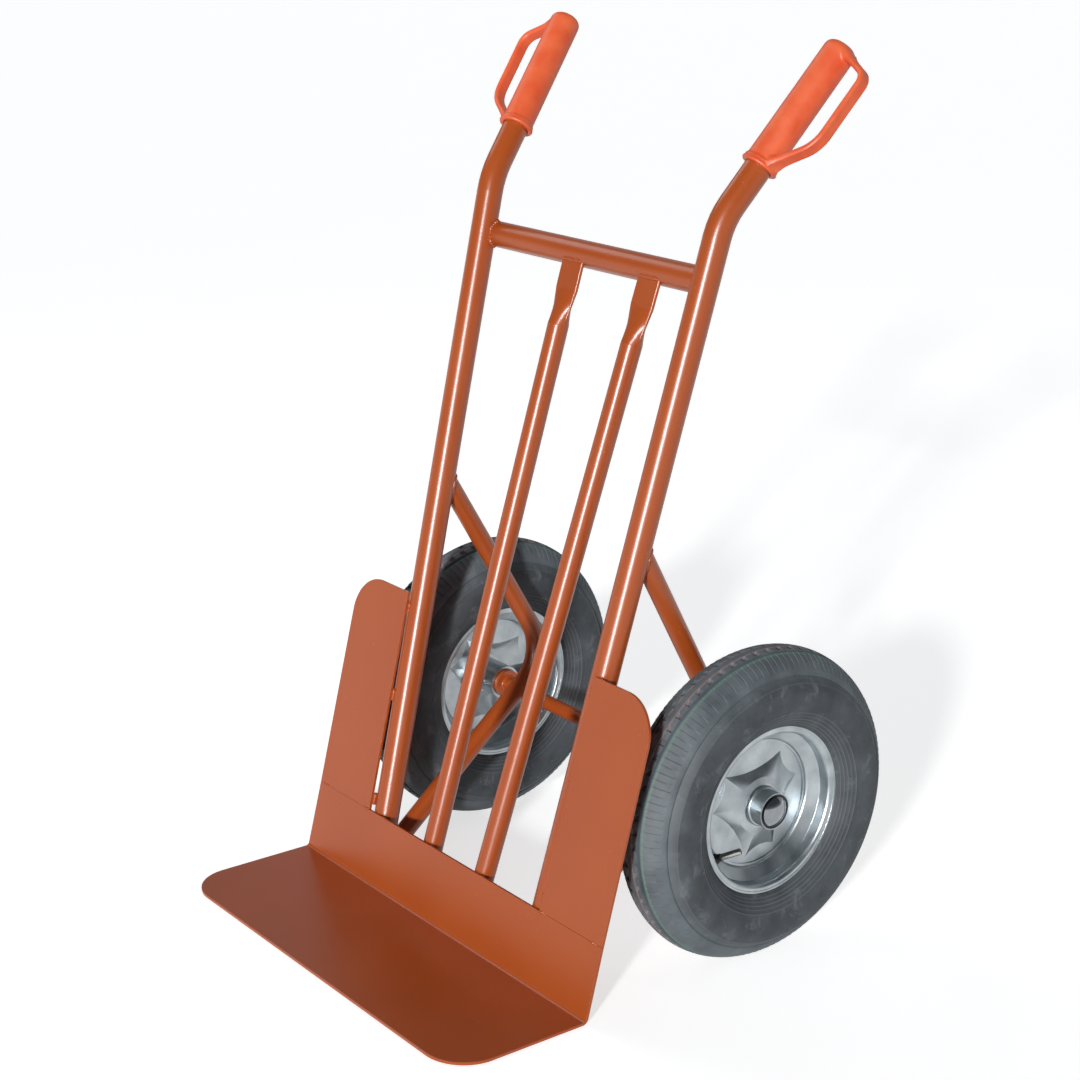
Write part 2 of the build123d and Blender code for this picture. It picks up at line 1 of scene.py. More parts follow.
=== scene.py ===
from math import acos, asin, atan2, ceil, cos, exp, hypot, pi, radians, sin, sqrt, tan

import bmesh
import bpy
from mathutils import Matrix, Vector


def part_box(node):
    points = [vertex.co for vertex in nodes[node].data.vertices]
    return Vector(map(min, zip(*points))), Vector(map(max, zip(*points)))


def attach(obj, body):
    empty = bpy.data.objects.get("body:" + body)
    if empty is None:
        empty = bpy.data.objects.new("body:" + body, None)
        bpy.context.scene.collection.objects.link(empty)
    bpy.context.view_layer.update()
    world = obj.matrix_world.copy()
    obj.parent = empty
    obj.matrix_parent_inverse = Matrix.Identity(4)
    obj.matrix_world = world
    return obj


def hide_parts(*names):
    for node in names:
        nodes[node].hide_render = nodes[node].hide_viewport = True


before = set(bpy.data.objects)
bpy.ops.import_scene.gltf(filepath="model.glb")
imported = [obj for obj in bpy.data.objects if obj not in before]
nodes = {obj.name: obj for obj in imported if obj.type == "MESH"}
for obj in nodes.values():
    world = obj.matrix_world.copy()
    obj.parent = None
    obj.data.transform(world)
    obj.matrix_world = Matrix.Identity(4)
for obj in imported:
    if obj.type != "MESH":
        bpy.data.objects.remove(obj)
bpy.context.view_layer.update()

# Toe plate and side plates
# Four-millimetre steel sheet. The toe and its low flange are one bent piece, and the side plates
# are butted on the flange. They are sheared, welded and then painted with the rest of the frame.
mm = 0.001
sheet = 4.0 * mm
edge_round = 0.6 * mm


def colour(code):
    """An sRGB hex value as a linear colour."""
    parts = [int(code[i:i + 2], 16) / 255 for i in (1, 3, 5)]
    return [*(p / 12.92 if p <= 0.04045 else ((p + 0.055) / 1.055) ** 2.4 for p in parts), 1.0]


def finish_of(name):
    """A new material, with its node tree and its shader."""
    made = bpy.data.materials.new(name)
    made.use_nodes = True
    return made, made.node_tree, made.node_tree.nodes["Principled BSDF"]


def add(tree, kind, links=None, **settings):
    """Adds a node with its settings. Links gives each input a value or another node's output."""
    made = tree.nodes.new(kind)
    for name, value in settings.items():
        setattr(made, name, value)
    for socket, value in (links or {}).items():
        if isinstance(value, bpy.types.NodeSocket):
            tree.links.new(value, made.inputs[socket])
        else:
            made.inputs[socket].default_value = value
    return made


def noise(tree, size, detail, **more):
    """Soft noise that lies on the piece, in patches of about this many millimetres."""
    place = add(tree, "ShaderNodeTexCoord").outputs["Object"]
    links = {"Vector": place, "Scale": 1000.0 / size, "Detail": detail, **more}
    return add(tree, "ShaderNodeTexNoise", links).outputs["Fac"]


def between(tree, value, low, high, start=0.0, end=1.0):
    """A value that goes from low to high while another goes from start to end."""
    links = {"Value": value, "From Min": start, "From Max": end, "To Min": low, "To Max": high}
    return add(tree, "ShaderNodeMapRange", links).outputs["Result"]


def blend(tree, factor, low, high):
    """A colour between two, each given by its place on the factor and its hex value."""
    ramp = add(tree, "ShaderNodeValToRGB", {"Fac": factor})
    for element, (share, code) in zip(ramp.color_ramp.elements, (low, high)):
        element.position = share
        element.color = colour(code)
    return ramp.outputs["Color"]


def mixed(tree, factor, first, second):
    """The first colour where the factor is 0 and the second where it is 1."""
    links = {"Factor": factor, "A": first, "B": second}
    return add(tree, "ShaderNodeMix", links, data_type="RGBA").outputs["Result"]


def relief(tree, shader, height, strength, depth):
    """A fine unevenness in the surface of a material."""
    bump = add(tree, "ShaderNodeBump", {"Height": height, "Strength": strength, "Distance": depth})
    tree.links.new(bump.outputs["Normal"], shader.inputs["Normal"])


# Gloss alkyd enamel, sprayed on steel: an even warm red-brown with long whitish highlights on the
# tubes, a slight orange peel and a few dust nibs under the coat
enamel, tree, shader = finish_of("sprayed_gloss_enamel")
patches = noise(tree, size=160, detail=2.0)
coat = blend(tree, patches, (0.3, "#AE4E1A"), (0.7, "#B45420"))
nibs = between(tree, noise(tree, size=3.5, detail=2.0), 0.0, 1.0, start=0.72, end=0.78)
tree.links.new(mixed(tree, nibs, coat, colour("#C07A58")), shader.inputs["Base Color"])
tree.links.new(between(tree, patches, 0.27, 0.33), shader.inputs["Roughness"])
relief(tree, shader, noise(tree, size=2.4, detail=1.0), strength=0.08, depth=0.2 * mm)


def dress(name, material):
    """Gives a CAD node its material."""
    shape = nodes[name]
    shape.data.materials.clear()
    shape.data.materials.append(material)
    return shape


def ease_edges(shape, width):
    """Rounds the sheared edges of a plate a little, so that they catch the light."""
    joined = shape.modifiers.new("joined_faces", "WELD")
    joined.merge_threshold = 0.002 * mm
    edge = shape.modifiers.new("eased_edges", "BEVEL")
    edge.width = width
    edge.segments = 2
    edge.limit_method = "ANGLE"
    edge.angle_limit = radians(50)
    edge.use_clamp_overlap = False
    flat = shape.modifiers.new("flat_faces", "WEIGHTED_NORMAL")
    flat.keep_sharp = True


for plate in ("toe_plate", "left_side_plate", "right_side_plate"):
    ease_edges(dress(plate, enamel), edge_round)

# Rails, cross tube and inner bars
# Welded steel tube, bent once for the handles. The two inner bars are thinner tube with their
# tops pressed flat, and all of it is painted in place.
for tube in ("left_rail", "right_rail", "cross_tube", "left_bar", "right_bar"):
    dress(tube, enamel)

# Braces, axle and axle collars
# Bent tube from each rail back over the axle, a plain round bar, and a thick ring welded on it
# inside each wheel. They carry the same paint as the frame.
for piece in ("left_brace", "right_brace", "axle", "left_axle_collar", "right_axle_collar"):
    dress(piece, enamel)

# Weld beads
# Short runs of weld metal at the joints of the frame, laid by hand with a ripple about every
# three millimetres, and painted over.
ripple = 3.2 * mm
lean = radians(13.9)
fold_y = -147.5 * mm
rail_r, cross_r, bar_r, brace_r, axle_r = (d / 2 * mm for d in (33.7, 33.7, 26.9, 25.4, 20.0))
up_lean = Vector((0, sin(lean), cos(lean)))
back_lean = Vector((0, cos(lean), -sin(lean)))
sideways = Vector((1, 0, 0))
rail_back = sheet + 0.2 * mm + rail_r
cross_at, bend_at, brace_high, brace_low = (v * mm for v in (869.0, 942.0, 550.0, 21.0))
axle_point = Vector((0, 137.5 * mm, 200.0 * mm))
# The cross tube stands so far behind the rails' axes, and its ends go so far into them
cross_behind, cross_inset = 15.0 * mm, 1.9 * mm
# The brace's axis passes so far over the axle's, and its corner lies so far past it
brace_over, brace_past = brace_r + axle_r - 3.0 * mm, 59.0 * mm
# The flange's height, and the side plate's height, inner edge at the foot, and slant
flange_high, plate_high, plate_inner, plate_slant = (v * mm for v in (92.0, 297.0, 185.0, 9.0))


def on_lean(x, up, back):
    """The point at x, so far up the leaning flange, so far behind its front face."""
    return Vector((x, fold_y, sheet)) + up_lean * up + back_lean * back


def rail_at(side, up):
    """The point of a rail's axis so far up the lean."""
    return on_lean(side * (167.5 * mm + 0.0556 * up), up, rail_back)


def meet(start, way, axis_point, axis_way, radius):
    """Where a line first comes to a tube's surface."""
    away = start - axis_point
    away -= axis_way * away.dot(axis_way)
    along = way - axis_way * way.dot(axis_way)
    a, b, c = along.dot(along), 2 * along.dot(away), away.dot(away) - radius**2
    return start + way * ((-b - sqrt(max(b * b - 4 * a * c, 0.0))) / (2 * a))


def saddle(start, way, own_radius, axis_point, axis_way, radius, steps=90):
    """The line where the end of one tube sits on another."""
    across = way.cross(axis_way).normalized()
    over = across.cross(way)
    ring = []
    for i in range(steps):
        turn = 2 * pi * i / steps
        side_step = (across * cos(turn) + over * sin(turn)) * own_radius
        ring.append(meet(start + side_step, way, axis_point, axis_way, radius))
    return ring


def skin(name, rings, closed=False):
    """A mesh over a row of rings of points. Closed joins the last ring to the first."""
    count = len(rings[0])
    faces = []
    for r in range(len(rings) if closed else len(rings) - 1):
        a, b = r * count, (r + 1) % len(rings) * count
        for i in range(count):
            j = (i + 1) % count
            faces.append((a + i, a + j, b + j, b + i))
    if not closed:
        faces.append(tuple(range(count)))
        faces.append(tuple(range((len(rings) - 1) * count, len(rings) * count)))
    mesh = bpy.data.meshes.new(name)
    mesh.from_pydata([p for ring in rings for p in ring], [], faces)
    work = bmesh.new()
    work.from_mesh(mesh)
    bmesh.ops.recalc_face_normals(work, faces=work.faces)
    work.to_mesh(mesh)
    work.free()
    mesh.shade_smooth()
    return mesh


def put(name, data):
    """A new object in the scene."""
    made = bpy.data.objects.new(name, data)
    bpy.context.scene.collection.objects.link(made)
    return made


def bead(name, path, size, closed=False, rough=0.13):
    """A rippled weld bead along a path of points. Rough says how much it swells and shrinks."""
    lengths = [0.0]
    for a, b in zip(path, path[1:]):
        lengths.append(lengths[-1] + (b - a).length)
    rings = []
    for i, point in enumerate(path):
        before = path[i - 1] if i or closed else path[0]
        after = path[(i + 1) % len(path)] if i < len(path) - 1 or closed else path[-1]
        way = (after - before).normalized()
        across = way.orthogonal().normalized()
        if rings:
            across = (last_across - way * last_across.dot(way)).normalized()
        last_across = across
        over = way.cross(across)
        # A slower wave on top of the ripple keeps the bead uneven, and an open run tapers at its ends
        wave = 2 * pi * lengths[i] / ripple
        swell = 1 + rough * (sin(wave) + 0.7 * sin(0.9 + wave / 4.3))
        if not closed:
            share = 2 * i / (len(path) - 1) - 1
            swell *= max(sqrt(max(1 - share**6, 0.0)), 0.15)
        rings.append([
            point + (across * cos(t) + over * sin(t)) * size * swell
            for t in (2 * pi * k / 9 for k in range(9))
        ])
    mesh = skin(name, rings, closed)
    mesh.materials.append(enamel)
    piece = put(name, mesh)
    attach(piece, "frame")


def run(a, b, step=0.8 * mm):
    """Points on a straight line, close enough for the ripples."""
    count = max(int(ceil((b - a).length / step)), 4)
    return [a.lerp(b, i / count) for i in range(count + 1)]


for hand, side in (("left", -1), ("right", 1)):
    rail_way = (rail_at(side, bend_at) - rail_at(side, 0)).normalized()
    # The cross tube's front half, from below to above, where its end seats on the rail
    cross_mid = on_lean(0, cross_at, rail_back + cross_behind)
    cross_end = rail_at(side, cross_at).x - side * (rail_r - cross_inset)
    seat = []
    for k in range(61):
        turn = radians(-82 + 164 * k / 60)
        edge = cross_mid + (up_lean * sin(turn) - back_lean * cos(turn)) * cross_r
        edge = meet(edge, sideways * side, rail_at(side, 0), rail_way, rail_r)
        edge.x = side * min(abs(edge.x), abs(cross_end))
        seat.append(edge)
    bead(f"{hand}_cross_tube_weld", seat, 2.8 * mm, rough=0.45)

    # The brace's two ends, on the rail
    foot, head = rail_at(side, brace_low), rail_at(side, brace_high)
    reach = hypot(axle_point.y - foot.y, axle_point.z - foot.z)
    slope = atan2(axle_point.z - foot.z, axle_point.y - foot.y) + asin(brace_over / reach)
    leg = sqrt(reach**2 - brace_over**2) + brace_past
    corner = Vector((0, foot.y + leg * cos(slope), foot.z + leg * sin(slope)))
    corner_up = (corner.y - fold_y) * sin(lean) + (corner.z - sheet) * cos(lean)
    corner.x = rail_at(side, corner_up).x
    for end, target in (("upper", head), ("lower", foot)):
        way = (target - corner).normalized()
        ring = saddle(corner, way, brace_r, rail_at(side, 0), rail_way, rail_r)
        bead(f"{hand}_brace_{end}_weld", ring, 2.3 * mm, closed=True)

    # The brace over the axle: one run on each side of the tube
    leg_x = (foot + (corner - foot) * (1 - brace_past / leg)).x
    along = Vector((0, cos(slope), sin(slope))) * 9 * mm
    for i, face in enumerate((-1, 1), 1):
        on_axle = axle_point + Vector((0, -sin(slope), cos(slope))) * axle_r
        on_axle.x = leg_x + face * (brace_r - 2.0 * mm)
        bead(f"{hand}_brace_axle_weld_{i}", run(on_axle - along, on_axle + along), 2.4 * mm)

    # The axle collar: a ring of weld on its inner face
    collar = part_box(f"{hand}_axle_collar")
    collar_x = collar[1].x if side < 0 else collar[0].x
    ring = []
    for k in range(70):
        turn = 2 * pi * k / 70
        on_axle = axle_point + Vector((0, cos(turn), sin(turn))) * axle_r
        on_axle.x = collar_x
        ring.append(on_axle)
    bead(f"{hand}_collar_weld", ring, 2.2 * mm, closed=True)

    # The bar's flat top under the cross tube, with one run in front and one behind, and its foot on
    # the flange, with one run on each side
    bar_low = on_lean((-9.0 + side * 54.0) * mm, 12.0 * mm, sheet + 0.2 * mm + bar_r)
    bar_high = on_lean((44.0 + side * 72.8) * mm, cross_at, rail_back + 4.0 * mm)
    bar_way = (bar_high - bar_low).normalized()
    bar_across = (sideways - bar_way * bar_way.x).normalized()
    bar_front = bar_across.cross(bar_way)
    for i, face in enumerate((-1, 1), 1):
        near_top = bar_low.lerp(bar_high, 0.9) + bar_front * face * 2.8 * mm
        ends = []
        for aside in (-18 * mm, 18 * mm):
            ends.append(meet(near_top + bar_across * aside, bar_way, cross_mid, sideways, cross_r))
        bead(f"{hand}_bar_top_weld_{i}", run(*ends), 2.6 * mm)
        low = on_lean(bar_low.x + face * bar_r * 0.55, 20.0 * mm, sheet + bar_r * 0.12)
        bead(f"{hand}_bar_foot_weld_{i}", run(low, low + up_lean * 58 * mm), 2.2 * mm)

    # The rail behind the flange, and tacks between the rail and the side plate's inner edge
    for i, face in enumerate((-1, 1), 1):
        low = rail_at(side, 14.0 * mm) + sideways * face * rail_r * 0.5 - back_lean * rail_r * 0.9
        bead(f"{hand}_rail_foot_weld_{i}", run(low, low + up_lean * 66 * mm), 2.4 * mm)
    for i, up in enumerate((99.0 * mm, 242.0 * mm, 360.0 * mm), 1):
        inner = plate_inner + plate_slant * (up - flange_high) / plate_high
        low = on_lean(side * (inner - 1.2 * mm), up, sheet + 1.2 * mm)
        bead(f"{hand}_side_plate_tack_{i}", run(low, low + up_lean * 17 * mm), 3.4 * mm)

    # The seam between the side plate and the flange: tacks behind it, and slight ones in front
    for i, x in enumerate((205.0 * mm, 292.0 * mm), 1):
        seam = on_lean(side * x, flange_high, sheet - 0.2 * mm)
        bead(f"{hand}_seam_tack_{i}", run(seam, seam + sideways * side * 9 * mm), 2.0 * mm)
    for i, x in enumerate((186.5 * mm, 284.0 * mm), 1):
        seam = on_lean(side * x, flange_high, 0.5 * mm)
        path = run(seam, seam + sideways * side * 12 * mm)
        bead(f"{hand}_front_tack_{i}", path, 1.4 * mm, rough=0.5)

# Hubs and bearings
# A steel tube through each wheel with a turned bead where the disc is welded on. Hardened rollers
# in a moulded cage run on the bare axle, between thrust washers and a spring clip.
# Bright zinc plate: a cool grey with a soft bright reflection, clouded a little by the plating bath
zinc, tree, shader = finish_of("bright_zinc_plate")
clouds = noise(tree, size=28, detail=4.0)
plating = blend(tree, clouds, (0.3, "#9CA4A8"), (0.7, "#BFC5C8"))
tree.links.new(plating, shader.inputs["Base Color"])
tree.links.new(between(tree, clouds, 0.28, 0.41), shader.inputs["Roughness"])
relief(tree, shader, noise(tree, size=1.6, detail=2.0), strength=0.05, depth=0.1 * mm)
shader.inputs["Metallic"].default_value = 1.0

# Ground bearing steel with a film of oil: grey, with a fine mottle from the grinding
ground_steel, tree, shader = finish_of("ground_oiled_steel")
marks = blend(tree, noise(tree, size=1.2, detail=2.0), (0.0, "#7B7D7E"), (1.0, "#A5A7A8"))
tree.links.new(marks, shader.inputs["Base Color"])
shader.inputs["Metallic"].default_value = 1.0
shader.inputs["Roughness"].default_value = 0.32

# Moulded nylon: dull black with a fine grain
nylon, tree, shader = finish_of("moulded_black_nylon")
grain = blend(tree, noise(tree, size=0.8, detail=2.0), (0.0, "#1D1E1F"), (1.0, "#2C2D2E"))
tree.links.new(grain, shader.inputs["Base Color"])
shader.inputs["Roughness"].default_value = 0.55

for hand in ("left", "right"):
    dress(f"{hand}_hub", zinc)
    for piece in ("bearing_races", "bearing_rollers", "thrust_washers", "spacer", "retaining_clip"):
        dress(f"{hand}_{piece}", ground_steel)
    dress(f"{hand}_bearing_cages", nylon)

# Rims and wheel discs
# The rim is rolled from strip with a dropped centre and curled lips. The disc is pressed with three
# wide and three narrow hollow sides, welded into the well and zinc plated with the rim.
for hand in ("left", "right"):
    dress(f"{hand}_rim", zinc)
    dress(f"{hand}_wheel_disc", zinc)

# Hub caps, their rings and the inner tubes
# A domed chrome pressing sits in a soft black ring, pushed into the mouth of the hub. The inner tube
# is of the same soft rubber as the ring.
# Chrome plate: a clean dark mirror, with the faintest wipe marks
chrome, tree, shader = finish_of("chrome_plate")
wipe = noise(tree, size=9, detail=4.0)
tree.links.new(blend(tree, wipe, (0.0, "#868B90"), (1.0, "#A2A6AA")), shader.inputs["Base Color"])
tree.links.new(between(tree, wipe, 0.03, 0.10), shader.inputs["Roughness"])
shader.inputs["Metallic"].default_value = 1.0

# Soft black rubber, moulded smooth: deep black with a dull wide sheen
soft_rubber, tree, shader = finish_of("moulded_soft_rubber")
bloom = blend(tree, noise(tree, size=6, detail=3.0), (0.0, "#17181A"), (1.0, "#292B2D"))
tree.links.new(bloom, shader.inputs["Base Color"])
shader.inputs["Roughness"].default_value = 0.48

for hand in ("left", "right"):
    dress(f"{hand}_hub_cap", chrome)
    dress(f"{hand}_cap_ring", soft_rubber)
    dress(f"{hand}_inner_tube", soft_rubber)

# Valves
# A stem with a soft rubber skin comes through the slope of the rim. A cap of nickel-plated brass is
# screwed on its end.
# Nickel on brass: a warm bright metal, clouded a little by handling
nickel, tree, shader = finish_of("nickel_plated_brass")
worn = blend(tree, noise(tree, size=4, detail=3.0), (0.0, "#A9A69E"), (1.0, "#CFCDC6"))
tree.links.new(worn, shader.inputs["Base Color"])
shader.inputs["Metallic"].default_value = 1.0
shader.inputs["Roughness"].default_value = 0.22

for hand in ("left", "right"):
    dress(f"{hand}_valve_stem", soft_rubber)
    dress(f"{hand}_valve_cap", nickel)

# Tyres
# Moulded pneumatic tyres, fitted over the tubes. The tread has a blocky middle between two grooves,
# and its shoulders are cut by narrow sipes that end at a rib. Low ridges run round the wall.
bead_r, tyre_r, tyre_half = 100.3 * mm, 200.0 * mm, 53.3 * mm
widest_r, crown_r, tread_half = 150.0 * mm, 46.0 * mm, 40.5 * mm
groove_at, groove_half, groove_deep = 15.0 * mm, 1.7 * mm, 4.2 * mm
sipe_deep, short_sipe_deep, notch_deep = 1.6 * mm, 1.2 * mm, 3.2 * mm
lining_r, lining_half = 148.0 * mm, 44.0 * mm
wheel_aside = 273.3 * mm
pitches = 66
# Where the columns of one tread pitch stand, as shares of it, and what is cut there
columns = (0.0, 0.025, 0.05, 0.17, 0.38, 0.495, 0.52, 0.545, 0.66, 0.88)
long_sipe, short_sipe = 1, 6
notch_out, notch_in = (3, 4), (8, 9)
# Each shoulder block is moulded a little lower behind its sipe than before the next one
pleat = (0.0, 0.0, 0.8, 0.66, 0.3, 0.08, 0.0, 0.7, 0.5, 0.18)
# Ridges round the wall, each by its radius, its height and how strongly its crest is painted pale as
# a highlight
ridges = (
    (166.0, 0.5, 0.22),
    (129.0, 0.5, 0.30),
    (124.0, 0.35, 0.22),
    (119.5, 0.5, 0.34),
    (115.5, 0.4, 0.25),
    (112.0, 0.4, 0.25),
)
ridge_half = 1.3


def crown(x):
    """The radius of the tread's crown so far from its middle."""
    return tyre_r - crown_r + sqrt(crown_r**2 - x * x)


edge_r = crown(tread_half)
side_top = (edge_r - 2.2 * mm, 40.3 * mm)
wall_foot = (107.7 * mm, 34.5 * mm)


def wall(radius):
    """How far out the wall stands at a radius, on an arc each way from where the tyre is widest."""
    end_r, end_across = side_top if radius > widest_r else wall_foot
    drop = tyre_half - end_across
    bulge = ((end_r - widest_r) ** 2 + drop**2) / (2 * drop)
    return tyre_half - bulge + sqrt(bulge**2 - (radius - widest_r) ** 2)


# One half of the section as (radius, across): the crown with its groove, the rib, the wall, the
# bead in the rim and the lining
half_section = [(crown(x * mm), x * mm) for x in (0, 2.0, 4.0, 4.6, 8.5, 12.0, 12.8)]
for x in (groove_at - groove_half, groove_at, groove_at + groove_half):
    half_section.append((crown(x) - groove_deep, x))
for x in (17.2, 18.2, 19.2, 22.0, 25.0, 28.0, 31.0, 34.0, 36.0):
    half_section.append((crown(x * mm), x * mm))
half_section += [(crown(x * mm) + 0.2 * mm, x * mm) for x in (37.0, 38.6, 39.8)]
half_section += [(edge_r, 40.6 * mm), (edge_r - 0.7 * mm, 40.8 * mm), (edge_r - 1.4 * mm, 40.5 * mm)]
half_section.append(side_top)
stations = [(r, 0.0) for r in (171.0, 162.0, 158.0, 154.0, 150.0, 145.0, 140.0, 135.0)]
for ridge_r, height, _ in ridges:
    stations += [(ridge_r + ridge_half, 0.0), (ridge_r, height), (ridge_r - ridge_half, 0.0)]
half_section += [(r * mm, wall(r * mm) + lift * mm) for r, lift in sorted(stations, reverse=True)]
half_section += [wall_foot, (106.8 * mm, 32.4 * mm), (105.6 * mm, 31.3 * mm), (104.2 * mm, 31.0 * mm)]
half_section += [(103.5 * mm, 31.0 * mm), (101.9 * mm, 30.5 * mm), (100.8 * mm, 29.4 * mm)]
half_section += [(bead_r, 27.8 * mm), (bead_r, 17.5 * mm), (107.6 * mm, 17.5 * mm)]
for turn in (radians(t) for t in (140, 120, 95, 70, 45, 20)):
    half_section.append((lining_r + lining_half * cos(turn), lining_half * sin(turn)))


def cut(radius, across, column, outboard):
    """How deep the tread is cut at a point of the section, in a column of the pitch."""
    x = abs(across)
    if radius < edge_r - 1.0 * mm:
        return 0.0
    if 18.5 * mm < x < 36.5 * mm:
        if column == long_sipe:
            return sipe_deep
        if column == short_sipe and x < 33.0 * mm:
            return short_sipe_deep
        return pleat[column] * mm
    if 4.3 * mm < x < 12.4 * mm and column in (notch_out if outboard else notch_in):
        return notch_deep
    return 0.0


section = [(r, a, True) for r, a in half_section]
section += [(r, -a, False) for r, a in reversed(half_section[1:])]
tread_rings = []
for pitch in range(pitches):
    for column, share in enumerate(columns):
        turn = 2 * pi * (pitch + share) / pitches
        ring = []
        for radius, across, outboard in section:
            deep = radius - cut(radius, across, column, outboard)
            ring.append(Vector((across, deep * cos(turn), deep * sin(turn))))
        tread_rings.append(ring)
tyre_mesh = skin("tyre", tread_rings, closed=True)
tyre_mesh.set_sharp_from_angle(angle=radians(38))


def worked(tree, operation, first, second=0.0):
    """The result of one step of arithmetic on values or outputs."""
    return add(tree, "ShaderNodeMath", {0: first, 1: second}, operation=operation).outputs[0]


# Vulcanised black rubber, new but dusty: a grey bloom on the tread, darker scuffed walls whose ridge
# crests carry a painted pale highlight, and a thin green line and faint pink lines left round the
# tread from the mould shop
tyre_rubber, tree, shader = finish_of("vulcanised_tyre_rubber")
place = add(tree, "ShaderNodeTexCoord").outputs["Object"]
along_x, along_y, along_z = add(tree, "ShaderNodeSeparateXYZ", {"Vector": place}).outputs
off_middle = worked(tree, "ABSOLUTE", along_x)
square_y = worked(tree, "MULTIPLY", along_y, along_y)
square_z = worked(tree, "MULTIPLY", along_z, along_z)
off_axle = worked(tree, "SQRT", worked(tree, "ADD", square_y, square_z))
cloud = noise(tree, size=45, detail=5.0, Roughness=0.6)
walls = blend(tree, cloud, (0.3, "#303539"), (0.72, "#53595E"))
dust = blend(tree, cloud, (0.3, "#4C5459"), (0.75, "#737C81"))
on_tread = between(tree, off_axle, 0.0, 1.0, start=edge_r - 12 * mm, end=edge_r + 2 * mm)
scuffs = noise(tree, size=24, detail=8.0, Roughness=0.68, Distortion=0.6)
scuffs_and_crest_highlights = between(tree, scuffs, 0.0, 0.5, start=0.56, end=0.74)
# The crest of each wall ridge is painted pale as a painted highlight where light would catch it, and
# the real scuffs share the same pale grey
for ridge_r, _, crest_highlight_strength in ridges:
    off_crest = worked(tree, "ABSOLUTE", worked(tree, "SUBTRACT", off_axle, ridge_r * mm))
    painted_crest_highlight = between(tree, off_crest, 0.0, crest_highlight_strength, start=0.7 * mm, end=0.2 * mm)
    scuffs_and_crest_highlights = worked(tree, "MAXIMUM", scuffs_and_crest_highlights, painted_crest_highlight)
painted = mixed(tree, on_tread, mixed(tree, scuffs_and_crest_highlights, walls, colour("#8B9195")), dust)
for line_at, line_half, code, strength in ((19.2, 1.3, "#5E8A74", 0.55), (5.0, 1.6, "#A88C88", 0.5)):
    off_line = worked(tree, "ABSOLUTE", worked(tree, "SUBTRACT", off_middle, line_at * mm))
    on_line = between(tree, off_line, 0.0, strength, start=line_half * mm, end=0.6 * line_half * mm)
    painted = mixed(tree, worked(tree, "MULTIPLY", on_line, on_tread), painted, colour(code))
tree.links.new(painted, shader.inputs["Base Color"])
tree.links.new(between(tree, cloud, 0.60, 0.80), shader.inputs["Roughness"])
relief(tree, shader, noise(tree, size=1.8, detail=3.0), strength=0.25, depth=0.25 * mm)
tyre_mesh.materials.append(tyre_rubber)

for hand, side in (("left", -1), ("right", 1)):
    tyre = put(f"{hand}_moulded_tyre", tyre_mesh)
    tyre.location = (side * wheel_aside, axle_point.y, axle_point.z)
    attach(tyre, f"{hand}_wheel")
    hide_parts(f"{hand}_tyre")

# Grips
# Soft vinyl sleeves pushed over the handles, moulded in one piece with two beads at the mouth
# and a flat hand guard that runs out from the mouth and back in near the closed end.
handle_tilt, handle_splay = radians(37.6), 0.146
grip_start, grip_length, bore_length = 72.5 * mm, 171.6 * mm, 167.2 * mm
bore_r, grip_r, end_round = 16.95 * mm, 20.5 * mm, 10.0 * mm
end_r = grip_r - 0.5 * mm
# The two beads, each by its place, its width, the height of its foot and the height of its crest
mouth_beads = ((0.0, 5.0 * mm, 0.5 * mm, 2.8 * mm), (5.0 * mm, 4.0 * mm, 0.3 * mm, 1.7 * mm))
beads_end = 9.6 * mm
# The guard's corners as (out from the axis, along the grip), and the radii of the middle two
guard_reach = 64.3 * mm
guard_root = 16.0 * mm
guard_corners = (
    (guard_root, 7.6 * mm),
    (guard_reach, 47.6 * mm),
    (guard_reach, grip_length - 28.2 * mm),
    (guard_root, grip_length - 10.2 * mm),
)
guard_rounds = (36.6 * mm, 17.2 * mm)
guard_half_width, guard_half_thick = 8.6 * mm, 4.2 * mm
# The guard's section in shares of its half width and half thickness, with a channel on one side
guard_outline = (
    (-1, -0.35), (-0.72, -1), (0, -1), (0.72, -1), (1, -0.35), (1, 0.35),
    (0.72, 1), (0.3, 0.86), (-0.3, 0.86), (-0.72, 1), (-1, 0.35),
)
voxel = 1.1 * mm

# Soft vinyl, moulded in orange: a dull even sheen, a trace of light passing through thin edges
vinyl, tree, shader = finish_of("moulded_orange_vinyl")
flow = noise(tree, size=30, detail=3.0)
tree.links.new(blend(tree, flow, (0.3, "#E85A2C"), (0.72, "#F57244")), shader.inputs["Base Color"])
tree.links.new(between(tree, flow, 0.40, 0.54), shader.inputs["Roughness"])
relief(tree, shader, noise(tree, size=1.2, detail=2.0), strength=0.12, depth=0.15 * mm)
shader.inputs["Subsurface Weight"].default_value = 0.08
shader.inputs["Subsurface Radius"].default_value = (0.004, 0.0015, 0.0008)


def rounded_route(points, radii, steps=12):
    """Points along straight runs whose corners are rounded to these radii."""
    route = [Vector(points[0])]
    for i, radius in enumerate(radii, 1):
        before, here, after = (Vector(p) for p in points[i - 1:i + 2])
        a, b = (before - here).normalized(), (after - here).normalized()
        half_angle = acos(a.dot(b)) / 2
        centre = here + (a + b).normalized() * radius / sin(half_angle)
        start, end = here + a * radius / tan(half_angle), here + b * radius / tan(half_angle)
        first = start - centre
        sweep = pi - 2 * half_angle
        if first.x * (end - centre).y - first.y * (end - centre).x < 0:
            sweep = -sweep
        route += [route[-1].lerp(start, k / steps) for k in range(1, steps)]
        for k in range(steps + 1):
            c, s = cos(sweep * k / steps), sin(sweep * k / steps)
            route.append(centre + Vector((first.x * c - first.y * s, first.x * s + first.y * c)))
    return route + [route[-1].lerp(Vector(points[-1]), k / steps) for k in range(1, steps + 1)]


